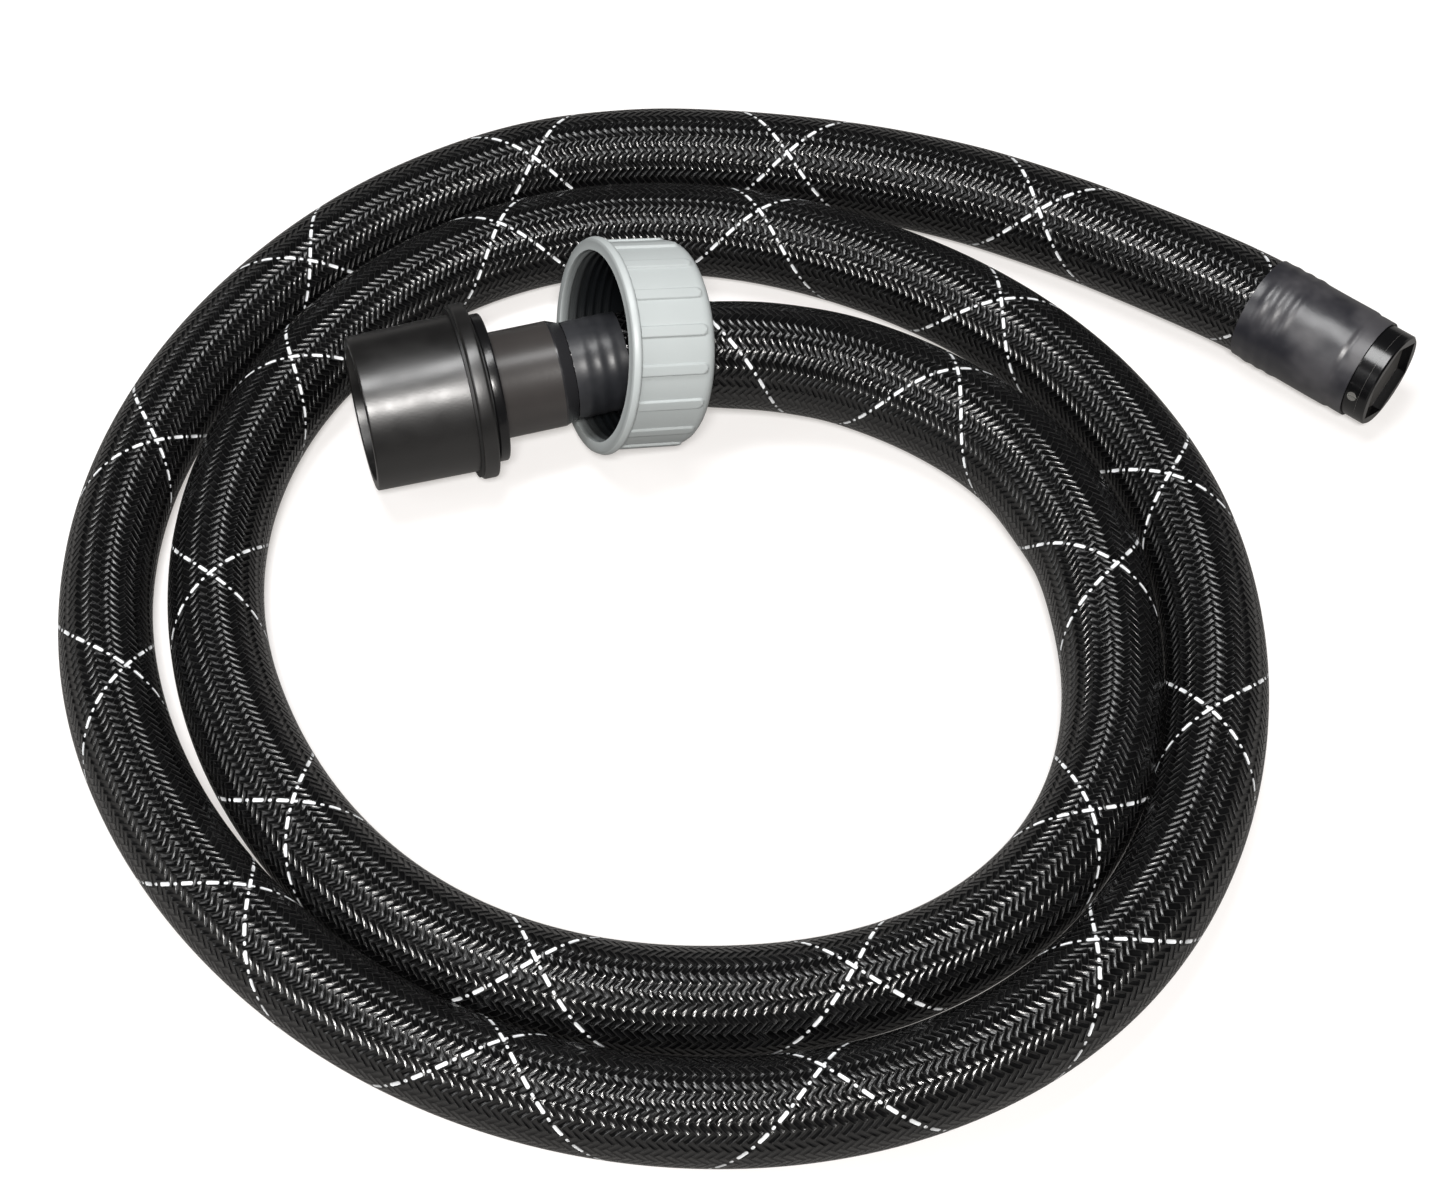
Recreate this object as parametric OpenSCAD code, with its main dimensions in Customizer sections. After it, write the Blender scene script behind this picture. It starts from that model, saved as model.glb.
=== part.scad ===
// A suction hose in a woven sleeve, laid in a flat coil of about two turns.
// One end has a swivel cuff and a loose union nut, the other a closing plug.
// Millimetres. The origin is the centre of the cuff's mouth, +X runs from the
// mouth into the hose, and +Z is up from the surface that the hose lies on.

/* [Hose] */
// Outside diameter over the woven sleeve
hose_od = 42; // [38:0.5:44]
// Thickness of the woven sleeve
sleeve_wall = 1; // [0.8:0.1:1.4]
// Bore of the hose
hose_bore = 32; // [28:0.5:33]

/* [Coil] */
// Radius of the coil where it starts
coil_start_r = 180.3; // [179:0.5:190]
// Gap between one turn and the next
turn_gap = 3; // [3:0.5:8]
// How far the coil is drawn out of round
coil_oval = 7.6; // [4:0.1:8]
// How far the coil waves in and out on its way round
coil_wave = 1.6; // [0:0.1:1.6]

/* [Swivel cuff] */
// Bore of the socket, for a pipe 60.3 mm across
socket_bore = 60.4; // [58:0.1:61]
// Depth of the socket
socket_depth = 32; // [26:1:36]
// Outside diameter of the barrel at its mouth
mouth_od = 69.3; // [68:0.1:70]
// Outside diameter of the barrel where it meets the flange
barrel_od = 71.1; // [70.4:0.1:73]
// Length of the barrel from its mouth to the flange
barrel_len = 46.9; // [46:0.1:56]
// Step from the barrel out to the flange's edge
flange_step = 4.05; // [3.5:0.05:5]
// Thickness of the flange
flange_len = 7; // [5:0.5:9]
// Room past the socket for the end of the journal
end_room = 7; // [6:0.5:8]

/* [Hose tail] */
// Diameter of the journal that the cuff turns on
journal_d = 43; // [40:0.5:45]
// Diameter of the collar behind the cuff
collar_od = 66.8; // [62:0.2:70]
// Thickness of the collar
collar_len = 4.8; // [3:0.2:7]
// Diameter of the neck
neck_od = 48; // [45:0.5:52]
// Length of the neck, without its cone
neck_len = 28.7; // [24:0.5:34]
// Length of the cone from the neck down to the hose
cone_len = 5.6; // [4:0.2:8]
// Bore through the tail
tail_bore = 25; // [20:0.5:27]
// Length of the shank inside the hose
shank_len = 24; // [22:0.5:26]

/* [Seals and rings] */
// Thickness of the swivel washer
washer_len = 1.2; // [0.8:0.1:2]
// Thickness of the port gasket
gasket_len = 1.2; // [0.8:0.1:2]
// Thickness of the cord of the O-rings
o_ring_d = 2.6; // [2:0.1:3]
// Thickness of the retaining ring
clip_len = 1.4; // [1:0.1:1.6]
// Thickness of the slip washer inside the union nut
slip_len = 1.3; // [1:0.1:2]

/* [Clamp bands and heat shrink] */
// Width of a clamp band
band_len = 2.6; // [2:0.1:3]
// Thickness of a clamp band
band_wall = 0.5; // [0.4:0.05:0.8]
// Distance from one clamp band to the next
band_pitch = 6.4; // [5.8:0.1:6.8]
// Thickness of the heat shrink
shrink_wall = 0.5; // [0.4:0.05:0.6]
// Length of the heat shrink on the tail
tail_shrink_len = 25; // [24:0.5:28]
// Length of the heat shrink on the plug
end_shrink_len = 58.9; // [57.5:0.2:60]
// How much the plug's shank widens the hose, in radius
end_swell = 2.6; // [0:0.1:3.2]

/* [Union nut] */
// Diameter of the bead at the nut's mouth
bead_od = 98; // [96:0.5:102]
// Diameter of the nut's body
nut_od = 92; // [91:0.5:92.5]
// Diameter over the grip ribs
rib_od = 93.6; // [93:0.2:96]
// Depth of the nut
nut_len = 41; // [38:0.5:46]
// Thickness of the lip that pulls on the collar
lip_len = 5; // [4:0.5:7]
// Diameter of the hole in the lip
lip_hole = 61.4; // [60:0.2:62]
// Diameter across the thread's roots
thread_od = 85.2; // [84.6:0.1:86]
// Depth of the thread
thread_depth = 1.4; // [1:0.1:1.8]
// Pitch of the thread
thread_pitch = 4; // [3:0.5:5]
// Number of grip ribs
rib_count = 17; // [12:1:24]
// Width of a grip rib
rib_w = 6.4; // [4:0.2:8]

/* [End plug] */
// How much smaller than the heat shrink's bore the plug's body is, in radius
plug_step = 1; // [0.8:0.1:2]
// How far the plug stands out of the heat shrink
plug_out = 11.1; // [9:0.1:14]
// Least wall between the hexagon recess and the plug's side
hex_wall = 2; // [1.4:0.1:5]
// Depth of the hexagon recess
hex_depth = 4.5; // [2:0.1:4.8]
// Diameter of the plug's side screw
screw_d = 4.6; // [3.6:0.1:5]

/* [Slack pose of the nut] */
// How far the nut's mouth lies behind the collar
nut_back = 46; // [40:0.5:50]
// Angle by which the slack nut leans back
nut_tilt = 15; // [12:0.5:17]
// Sideways lean of the swing's axis
swing_lean = 6; // [0:0.5:10]

/* [Hidden] */

// Clearances
run_gap = 0.08;
face_gap = 0.05;
loose_gap = 0.3;
slip_gap = 0.1;
slip_play = 0.8;

// Roundness of turned pieces and of the two tubes
turn_fn = 96;
sleeve_sides = 16;
hose_sides = 12;

// Stations along the tail, from the cuff's mouth
flange_face = barrel_len + flange_len;
web_face = socket_depth + end_room;
washer_at = flange_face + face_gap;
collar_at = washer_at + washer_len + face_gap;
neck_at = collar_at + collar_len;
cone_at = neck_at + neck_len;
hose_at = cone_at + cone_len;
clip_at = web_face - loose_gap - clip_len;
journal_end = clip_at - 2;
seal_at = (web_face + flange_face) / 2;

// Radii
socket_r = socket_bore / 2;
journal_r = journal_d / 2;
flange_r = barrel_od / 2 + flange_step;
collar_r = collar_od / 2;
hose_r = hose_od / 2;
sleeve_in_r = hose_r - sleeve_wall;
bore_r = hose_bore / 2;
shank_r = bore_r - loose_gap;
shrink_r = hose_r + 2 * slip_gap;
shrink_bump = band_wall;
end_shank_r = shank_r + end_swell;
end_shrink_r = shrink_r + end_swell;
hole_r = lip_hole / 2;
root_r = thread_od / 2;
crest_r = root_r - thread_depth;
plug_r = end_shrink_r - plug_step;

// The surface below: the flange stands on it, and so does the coil
floor_z = -flange_r;
coil_z = floor_z + hose_r * cos(180 / sleeve_sides);
swell_rise = end_swell * cos(180 / sleeve_sides);
end_z = floor_z + end_shrink_r + shrink_wall + shrink_bump;
end_rise = end_z - coil_z - swell_rise;

// Stations of the far end, from the start of its heat shrink
hose_end = end_shrink_len - 9.2;
grip_at = end_shrink_len - 5.9;
grip_len = 5.6;
plug_end = end_shrink_len + plug_out;
plug_shank_len = 31;
plug_barbs_len = 20;
plug_shank_at = hose_end - plug_shank_len;
end_seal_at = hose_end - 9;
first_band = 7;
tail_first_band = 5.8;

// Route of the hose, seen from above. It leaves the tail, sinks to the surface,
// winds clockwise from coil_from to coil_to and runs out to the plug.
// Each point of start_points is [x past the tail, y, share of the way down].
start_points = [
    [0, 0, 0], [24, 0, 0], [41, -0.8, 0], [64.9, -6, 0.13], [84.7, -10, 0.31],
    [102.4, -14.8, 0.52], [120, -22, 0.71], [135.6, -32.1, 0.84], [150.4, -44.6, 0.93],
    [164.3, -59.9, 0.98], [176.7, -78, 1], [186, -98.5, 1], [191.4, -121.7, 1],
    [194.5, -146, 1]
];
coil_at = [20.6, -124.4];
coil_from = 15;
coil_to = 615;
coil_steps = 40;
oval_towards = 67.2;
// Each wave is [how many to a turn, share, direction of a crest]
waves = [[3, 0.3, 51.2], [3.75, 1, 57.3], [5, 0.55, 60.1]];
turn_pitch = hose_od + turn_gap;
// Each point of end_points is [x, y past the coil's end, share of the swell, share of the way up].
// At the last one the plug's heat shrink starts.
end_points = [
    [25, 6.6, 0, 0], [50, 10.9, 0, 0], [76.1, 12.2, 0, 0], [102.7, 9.6, 0, 0], [129.3, 4.2, 0, 0],
    [153.2, -3.5, 0, 0], [177.6, -12.9, 0, 0], [202, -24.3, 0.16, 0], [223.7, -35.8, 0.34, 0],
    [245.3, -48.8, 0.5, 0], [266.7, -63.5, 0.64, 0], [288.1, -80.9, 0.76, 0.02],
    [309.2, -100, 0.87, 0.15], [329, -120.1, 0.94, 0.4], [347.8, -140.4, 0.98, 0.75],
    [370.63, -167.36, 1, 1]
];
end_yaw = -55;

function waved(a, i) = waves[i][1] * cos(waves[i][0] * (a - waves[i][2]));
function coil_r(a) = coil_start_r + turn_pitch * a / 360 + coil_oval * cos(2 * (a - oval_towards))
    + coil_wave * (waved(a, 0) + waved(a, 1) + waved(a, 2));
function coil_point(a) = [hose_at + coil_at.x + coil_r(a) * cos(a), coil_at.y - coil_r(a) * sin(a), coil_z];
function out_of_coil(p) = [
    coil_point(coil_to).x + p.x, coil_point(coil_to).y + p.y, coil_z + p[2] * swell_rise + p[3] * end_rise];
end_start = out_of_coil(end_points[len(end_points) - 1]);
function along_end(t) = end_start + t * [cos(end_yaw), sin(end_yaw), 0];

route = concat(
    [for (p = start_points) [hose_at + slip_gap + p.x, p.y, p.z * coil_z]],
    [for (i = [0:coil_steps]) coil_point(coil_from + i * (coil_to - coil_from) / coil_steps)],
    [for (p = end_points) out_of_coil(p)],
    [along_end(hose_end / 2), along_end(hose_end - slip_gap)]
);
last = len(route) - 1;

// How much wider the hose is at each point of its route
swell = concat([for (i = [0:last - len(end_points) - 2]) 0],
    [for (p = end_points) p[2] * end_swell], [end_swell, end_swell]);

// Least gap of the hose to itself, measured on the route's points and runs
function unit(v) = v / norm(v);
function run_share(p, a, b) = max(0, min(1, (p - a) * (b - a) / ((b - a) * (b - a))));
function to_run(p, a, b) = norm(p - a - run_share(p, a, b) * (b - a));
far_steps = 12;
self_gap = min([for (i = [far_steps:last]) for (j = [0:i - far_steps])
    to_run(route[i], route[j], route[j + 1])]) - hose_od;
function length_to(i) = i == 0 ? 0 : length_to(i - 1) + norm(route[i] - route[i - 1]);
echo(str("least gap of the hose to itself, mm: ", self_gap));
echo(str("length of the hose, mm: ", length_to(last)));

// Frame of the route at a point: across and up
function heading(i) = unit(route[min(i + 1, last)] - route[max(i - 1, 0)]);
function end_heading(i) = i == 0 ? [1, 0, 0] : i == last ? unit(route[last] - route[last - 1]) : heading(i);
function across(i) = unit(cross(end_heading(i), [0, 0, 1]));
function upward(i) = cross(across(i), end_heading(i));
function ring(i, r, sides) = [for (k = [0:sides - 1])
    let (a = 360 * (k + 0.5) / sides) route[i] + r * (cos(a) * across(i) + sin(a) * upward(i))];

// Swing of the slack nut: one hinge, far below, carries the nut forward along
// the neck from its slack pose and straightens it just behind the flange
slip_at = nut_len - lip_len - face_gap - slip_len;
straight_at = flange_face + 2 * loose_gap;
slack_at = neck_at + nut_back;
rib_end = nut_len - 5;
nut_lift = floor_z + slip_gap + rib_od / 2 * cos(nut_tilt) + rib_end * sin(nut_tilt);
swing = 1 / (2 * tan(nut_tilt / 2));
pole_x = (straight_at + slack_at) / 2 + swing * nut_lift;
pole_depth = swing * (slack_at - straight_at) - nut_lift / 2;
// The slip washer's bore, whose lowest edge the hose rests against
slip_height = nut_lift - (slip_at + slip_len) * sin(nut_tilt);
slip_in_r = (slip_height + hose_r + slip_play) / cos(nut_tilt);
echo(str("swing of the nut, a point and its axis: ",
    [pole_x, pole_depth * sin(swing_lean), -pole_depth * cos(swing_lean)],
    [0, cos(swing_lean), sin(swing_lean)]));
nut_axis = [cos(nut_tilt), sin(nut_tilt) * sin(swing_lean), -sin(nut_tilt) * cos(swing_lean)];
pole = [pole_x, pole_depth * sin(swing_lean), -pole_depth * cos(swing_lean)];
echo(str("axis of the slack nut: ", nut_axis));
echo(str("hexagon recess across its flats, mm: ", 2 * (plug_r - hex_wall) * cos(30)));
echo(str("the plug's heat shrink starts at: ", end_start, ", the coil lies at z ", coil_z));

// Turns a profile of [radius, station] points about the X axis
module turned(points) {
    rotate([0, 90, 0]) rotate_extrude($fn = turn_fn) polygon(points);
}

// A flat ring about the X axis
module flat_ring(at, len, in_r, out_r) {
    turned([[in_r, at], [out_r, at], [out_r, at + len], [in_r, at + len]]);
}

// A round cord bent to a ring about the X axis
module cord_ring(at, middle_r, cord_d) {
    translate([at, 0, 0]) rotate([0, 90, 0])
        rotate_extrude($fn = turn_fn) translate([middle_r, 0]) circle(d = cord_d, $fn = 24);
}

// Places a piece of the far end, whose own X axis starts at its heat shrink
module at_end() {
    translate(end_start) rotate([0, 0, end_yaw]) children();
}

// Places a piece of the slack nut, drawn from the nut's mouth along its axis
module slack() {
    rotate([swing_lean, 0, 0]) translate([pole_x, 0, -pole_depth]) rotate([0, nut_tilt, 0])
        translate([-pole_x, 0, pole_depth]) rotate([-swing_lean, 0, 0])
            translate([straight_at, 0, 0]) children();
}

// A shank with three barbs, from at to at + len
function barbs(at, len, r) = [for (i = [0:2]) each [
    [r - 0.7, at + len * (i + 0.2) / 3], [r, at + len * (i + 0.35) / 3], [r - 0.7, at + len * (i + 0.9) / 3]]];

// One side of a heat shrink over three clamp bands, the first at first
function over_bands(r, first, wide) = [for (i = [0:2]) each [
    [r, first + i * band_pitch - band_len / 2 - wide - 0.9],
    [r + shrink_bump, first + i * band_pitch - band_len / 2 - wide],
    [r + shrink_bump, first + i * band_pitch + band_len / 2 + wide],
    [r, first + i * band_pitch + band_len / 2 + wide + 0.9]]];
function backwards(list) = [for (i = [len(list) - 1:-1:0]) list[i]];

module swivel_cuff() {
    lead = 1;
    mouth_r = mouth_od / 2;
    color("#2b2b2d") turned([
        [socket_r, 0], [mouth_r - lead, 0], [mouth_r - 0.3, 0.3], [mouth_r, lead],
        [barrel_od / 2, barrel_len], [flange_r - lead, barrel_len], [flange_r, barrel_len + lead],
        [flange_r, flange_face - lead], [flange_r - lead, flange_face],
        [journal_r + run_gap, flange_face], [journal_r + run_gap, web_face],
        [journal_r + 4.5, web_face], [journal_r + 4.5, socket_depth], [socket_r, socket_depth]]);
}

module port_gasket() {
    color("#111111") flat_ring(barrel_len - gasket_len, gasket_len, barrel_od / 2 + face_gap, flange_r - 1.2);
}

module hose_tail() {
    edge = 0.8;
    clip_groove_r = journal_r - 1.5;
    seal_len = o_ring_d + 0.6;
    seal_r = journal_r - o_ring_d - face_gap;
    color("#38383a") turned(concat([
        [tail_bore / 2, journal_end], [journal_r - edge, journal_end], [journal_r, journal_end + edge],
        [journal_r, clip_at - face_gap], [clip_groove_r, clip_at - face_gap],
        [clip_groove_r, clip_at + clip_len + face_gap], [journal_r, clip_at + clip_len + face_gap],
        [journal_r, seal_at - seal_len / 2], [seal_r, seal_at - seal_len / 2],
        [seal_r, seal_at + seal_len / 2], [journal_r, seal_at + seal_len / 2],
        [journal_r, collar_at], [collar_r - edge, collar_at], [collar_r, collar_at + edge],
        [collar_r, neck_at - edge], [collar_r - edge, neck_at], [neck_od / 2, neck_at],
        [neck_od / 2, cone_at], [shrink_r + 0.5, hose_at], [shank_r - 0.7, hose_at]],
        barbs(hose_at, shank_len, shank_r),
        [[shank_r - 0.7, hose_at + shank_len], [tail_bore / 2, hose_at + shank_len]]));
}

module swivel_washer() {
    color("#1c1c1e") flat_ring(washer_at, washer_len, journal_r + face_gap, collar_r - 1);
}

module swivel_o_ring() {
    color("#151515") cord_ring(seal_at, journal_r - o_ring_d / 2, o_ring_d - face_gap);
}

module retaining_ring() {
    open_w = 9;
    ear_r = 1.6;
    cut = 12;
    color("#a8abae") difference() {
        union() {
            flat_ring(clip_at, clip_len, journal_r - 1.4, journal_r + 1.6);
            for (side = [-1, 1]) translate([clip_at, side * (open_w / 2 + ear_r), -journal_r - 1])
                rotate([0, 90, 0]) cylinder(r = ear_r, h = clip_len, $fn = 32);
        }
        translate([clip_at - 1, -open_w / 2, -journal_r - cut / 2]) cube([clip_len + 2, open_w, cut]);
        for (side = [-1, 1]) translate([clip_at - 1, side * (open_w / 2 + ear_r), -journal_r - 1.2])
            rotate([0, 90, 0]) cylinder(r = 0.7, h = clip_len + 2, $fn = 24);
    }
}

// One of the three clamp bands of an end, whose first band is at first, on a hose of radius r
module band(first, which, r) {
    flat_ring(first + (which - 1) * band_pitch - band_len / 2, band_len, r + slip_gap, r + slip_gap + band_wall);
}

module tail_band(which) {
    color("#8f9296") band(hose_at + tail_first_band, which, hose_r);
}

module end_band(which) {
    color("#8f9296") at_end() band(first_band, which, hose_r + end_swell);
}

module tail_heat_shrink() {
    first = hose_at + tail_first_band;
    from = hose_at + 2 * slip_gap;
    till = hose_at + tail_shrink_len;
    outer_r = shrink_r + shrink_wall;
    color("#3c3d42") turned(concat(
        [[outer_r, from]], over_bands(outer_r, first, 0.4), [[outer_r, till], [shrink_r, till]],
        backwards(over_bands(shrink_r, first, slip_gap)), [[shrink_r, from]]));
}

module end_heat_shrink() {
    in_r = end_shrink_r;
    outer_r = in_r + shrink_wall;
    crease = 0.7;
    color("#3c3d42") at_end() turned(concat(
        [[outer_r - 0.3, 0], [outer_r, 0.4]], over_bands(outer_r, first_band, 0.4),
        [[outer_r, hose_end - 0.6], [outer_r - crease, hose_end + 1.5], [outer_r - crease, hose_end + 2],
            [outer_r + 0.3, grip_at + 0.8], [outer_r + 0.3, end_shrink_len - 0.5],
            [outer_r - 0.1, end_shrink_len], [in_r, end_shrink_len],
            [in_r, grip_at - 0.3], [in_r - crease, hose_end + 1.6], [in_r, hose_end]],
        backwards(over_bands(in_r, first_band, slip_gap)), [[in_r, 0]]));
}

module slip_washer() {
    color("#e6e6df") slack() flat_ring(slip_at, slip_len, slip_in_r, hole_r + 7.2);
}

// A grip rib along the nut, with round ends
module grip_rib() {
    from = 6 + rib_w / 2;
    till = rib_end - rib_w / 2;
    foot = nut_od / 2 - 1;
    translate([0, 0, foot]) linear_extrude(rib_od / 2 - foot) {
        translate([from, -rib_w / 2]) square([till - from, rib_w]);
        for (x = [from, till]) translate([x, 0]) circle(d = rib_w, $fn = 32);
    }
}

module union_nut() {
    body_r = nut_od / 2;
    bead_r = bead_od / 2;
    fillet_r = 5;
    thread_from = 3;
    turns = floor((nut_len - lip_len - 9 - thread_from) / thread_pitch);
    thread = [for (i = [0:turns - 1]) each [
        [crest_r, thread_from + i * thread_pitch],
        [crest_r, thread_from + (i + 0.25) * thread_pitch],
        [root_r, thread_from + (i + 0.5) * thread_pitch],
        [root_r, thread_from + (i + 0.75) * thread_pitch]]];
    back = [for (a = [90:-18:0])
        [body_r - fillet_r + fillet_r * cos(a), nut_len - fillet_r + fillet_r * sin(a)]];
    bead = [[body_r + 0.8, 5], [bead_r - 0.4, 3.8], [bead_r, 2.2], [bead_r - 0.5, 0.8], [bead_r - 1.8, 0]];
    color("#b6c0c4") slack() {
        turned(concat([[root_r, 0]], thread, [[root_r, nut_len - lip_len], [hole_r, nut_len - lip_len],
            [hole_r, nut_len]], back, bead));
        for (i = [0:rib_count - 1]) rotate([9 + i * 360 / rib_count, 0, 0]) grip_rib();
    }
}

// A tube swept along the route: one ring of the outer and one of the inner wall at each point,
// whose radii are listed
module tube(out_r, in_r, sides) {
    rings = last + 1;
    outer = [for (i = [0:last]) each ring(i, out_r[i], sides)];
    inner = [for (i = [0:last]) each ring(i, in_r[i], sides)];
    base = rings * sides;
    function at(wall, i, k) = wall * base + i * sides + k % sides;
    walls = [for (i = [0:last - 1]) for (k = [0:sides - 1]) each [
        [at(0, i, k), at(0, i + 1, k + 1), at(0, i + 1, k)],
        [at(0, i, k), at(0, i, k + 1), at(0, i + 1, k + 1)],
        [at(1, i, k), at(1, i + 1, k), at(1, i + 1, k + 1)],
        [at(1, i, k), at(1, i + 1, k + 1), at(1, i, k + 1)]]];
    ends = [for (k = [0:sides - 1]) each [
        [at(0, 0, k), at(1, 0, k), at(1, 0, k + 1)],
        [at(0, 0, k), at(1, 0, k + 1), at(0, 0, k + 1)],
        [at(0, last, k), at(1, last, k + 1), at(1, last, k)],
        [at(0, last, k), at(0, last, k + 1), at(1, last, k + 1)]]];
    polyhedron(points = concat(outer, inner), faces = concat(walls, ends));
}

module suction_hose() {
    color("#202124") tube([for (w = swell) (sleeve_in_r + w) * cos(180 / sleeve_sides) - 0.01],
        [for (w = swell) (bore_r + w) / cos(180 / hose_sides)], hose_sides);
}

module braided_sleeve() {
    color("#2d2d2f") tube([for (w = swell) hose_r + w], [for (w = swell) sleeve_in_r + w], sleeve_sides);
}

// Where the side screw enters the plug, which it does radially
module at_screw() {
    screw_turn = 79;
    translate([end_shrink_len + 3.6, 0, 0]) rotate([screw_turn, 0, 0]) children();
}

module end_plug() {
    core = 22;
    edge = 0.8;
    seal_len = o_ring_d + 0.4;
    seal_r = end_shank_r + 0.15 - o_ring_d - face_gap;
    grip_r = end_shrink_r - slip_gap;
    color("#18181a") at_end() difference() {
        turned(concat(
            [[core / 2, plug_shank_at], [end_shank_r - 0.7, plug_shank_at]],
            barbs(plug_shank_at, plug_barbs_len, end_shank_r),
            [[end_shank_r, end_seal_at - seal_len / 2], [seal_r, end_seal_at - seal_len / 2],
                [seal_r, end_seal_at + seal_len / 2], [end_shank_r, end_seal_at + seal_len / 2],
                [end_shank_r, hose_end], [plug_r - 0.3, hose_end], [plug_r - 0.3, grip_at],
                [grip_r, grip_at], [grip_r, grip_at + grip_len], [plug_r, grip_at + grip_len],
                [plug_r, plug_end - edge], [plug_r - edge, plug_end], [0, plug_end],
                [0, grip_at], [core / 2, grip_at]]));
        translate([plug_end - hex_depth, 0, 0]) rotate([0, 90, 0])
            cylinder(r = plug_r - hex_wall, h = hex_depth + 1, $fn = 6);
        at_screw() translate([0, 0, plug_r - 7.2]) cylinder(d = 0.6 * screw_d + 0.2, h = 10, $fn = 32);
        at_screw() translate([0, 0, plug_r - 1.2]) cylinder(d = screw_d + 0.4, h = 4, $fn = 32);
    }
}

module end_o_ring() {
    color("#151515") at_end()
        cord_ring(end_seal_at, end_shank_r + 0.15 - o_ring_d / 2, o_ring_d - face_gap);
}

module plug_screw() {
    slot_w = 0.9;
    color("#c9cac6") at_end() at_screw() difference() {
        union() {
            translate([0, 0, plug_r - 1.1]) cylinder(d = screw_d, h = 1.5, $fn = 40);
            translate([0, 0, plug_r - 7]) cylinder(d = 0.6 * screw_d, h = 6, $fn = 32);
        }
        translate([-screw_d, -slot_w / 2, plug_r - 0.3]) cube([2 * screw_d, slot_w, 2]);
    }
}

swivel_cuff();
port_gasket();
hose_tail();
swivel_washer();
swivel_o_ring();
retaining_ring();
tail_band(1);  // tail_band_1
tail_band(2);  // tail_band_2
tail_band(3);  // tail_band_3
tail_heat_shrink();
slip_washer();
union_nut();
suction_hose();
braided_sleeve();
end_plug();
end_o_ring();
end_band(1);  // end_band_1
end_band(2);  // end_band_2
end_band(3);  // end_band_3
end_heat_shrink();
plug_screw();
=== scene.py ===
"""A suction hose in a woven sleeve, in a flat coil, with a swivel cuff, a slack union nut and an end plug.

Sizes and places are in millimetres, in the frame of the CAD, and `mesh_object` turns them into metres. The
camera, the lamps and the places that a finish reads are in metres. The turned pieces are swept profiles
with rounded corners, the nut adds ribs and a helical thread, and the hose is one mesh tube whose UV map
holds the weave's own coordinates.
"""

import math

import bpy
import numpy as np
from mathutils import Matrix, Quaternion, Vector


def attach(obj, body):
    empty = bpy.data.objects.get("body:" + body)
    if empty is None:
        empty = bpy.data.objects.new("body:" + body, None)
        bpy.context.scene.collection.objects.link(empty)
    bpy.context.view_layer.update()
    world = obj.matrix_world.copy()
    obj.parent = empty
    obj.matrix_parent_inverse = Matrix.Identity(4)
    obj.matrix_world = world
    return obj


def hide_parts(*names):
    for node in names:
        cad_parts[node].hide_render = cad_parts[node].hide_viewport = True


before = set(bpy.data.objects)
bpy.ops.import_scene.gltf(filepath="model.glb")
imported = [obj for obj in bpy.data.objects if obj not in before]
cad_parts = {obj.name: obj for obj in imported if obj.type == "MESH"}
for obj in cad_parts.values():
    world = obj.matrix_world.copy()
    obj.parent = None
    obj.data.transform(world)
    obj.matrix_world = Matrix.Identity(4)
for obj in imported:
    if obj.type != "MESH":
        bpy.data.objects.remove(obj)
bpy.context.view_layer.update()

MM = 0.001
TURN = 2 * math.pi

# ---------------------------------------------------------------- sizes, as in the CAD source
# Clearances
FACE_GAP = 0.05
RUN_GAP = 0.08
SLIP_GAP = 0.1
LOOSE_GAP = 0.3

# Swivel cuff
SOCKET_R = 30.2
SOCKET_DEPTH = 32
MOUTH_R = 34.65
BARREL_R = 35.55
BARREL_LEN = 46.9
FLANGE_R = 39.6
FLANGE_LEN = 7
END_ROOM = 7
END_ROOM_R = 26

# Hose tail
JOURNAL_R = 21.5
COLLAR_R = 33.4
COLLAR_LEN = 4.8
WASHER_LEN = 1.2
NECK_R = 24
NECK_LEN = 28.7
CONE_LEN = 5.6
CONE_R = 21.8
TAIL_BORE_R = 12.5
SHANK_R = 15
SHANK_LEN = 24

# Stations along the tail, from the cuff's mouth
WEB_FACE = SOCKET_DEPTH + END_ROOM
FLANGE_FACE = BARREL_LEN + FLANGE_LEN
COLLAR_AT = FLANGE_FACE + WASHER_LEN + 2 * FACE_GAP
NECK_AT = COLLAR_AT + COLLAR_LEN
CONE_AT = NECK_AT + NECK_LEN
HOSE_AT = CONE_AT + CONE_LEN
JOURNAL_END = 35.25
CLIP_GROOVE = (37.2, 38.75)
CLIP_GROOVE_R = 20
SEAL_GROOVE = (44.85, 48.05)
SEAL_GROOVE_R = 18.85

# Hose and coil; the CAD's sleeve has 16 flat sides and rests on one, at this share of its radius
HOSE_R = 21.0
SLEEVE_FLAT = math.cos(math.pi / 16)
FLOOR_Z = -FLANGE_R
COIL_Z = FLOOR_Z + HOSE_R * SLEEVE_FLAT
COIL_START_R = 180.3
TURN_PITCH = 45
COIL_OVAL = 7.6
OVAL_TOWARDS = 67.2
COIL_WAVE = 1.6
# Each wave is how many to a turn, its share and the direction of a crest
WAVES = ((3, 0.3, 51.2), (3.75, 1, 57.3), (5, 0.55, 60.1))
COIL_AT = (20.6, -124.4)
COIL_FROM = 15
COIL_TO = 615
COIL_STEPS = 40

# Heat shrinks over three clamp bands, and the end plug, from the start of its heat shrink
BAND_PITCH = 6.4
TAIL_SHRINK_LEN = 25
TAIL_SHRINK_R = 21.9
TAIL_FIRST_BAND = 5.8
END_SHRINK_LEN = 58.9
END_SHRINK_R = 24.4
END_FIRST_BAND = 7.0
END_SWELL = 2.6
SWELL_RISE = END_SWELL * SLEEVE_FLAT
END_Z = -14.8
END_YAW = math.radians(-55)
HOSE_END = 49.7
PLUG_END = 70
HEX_DEPTH = 4.5

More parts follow.
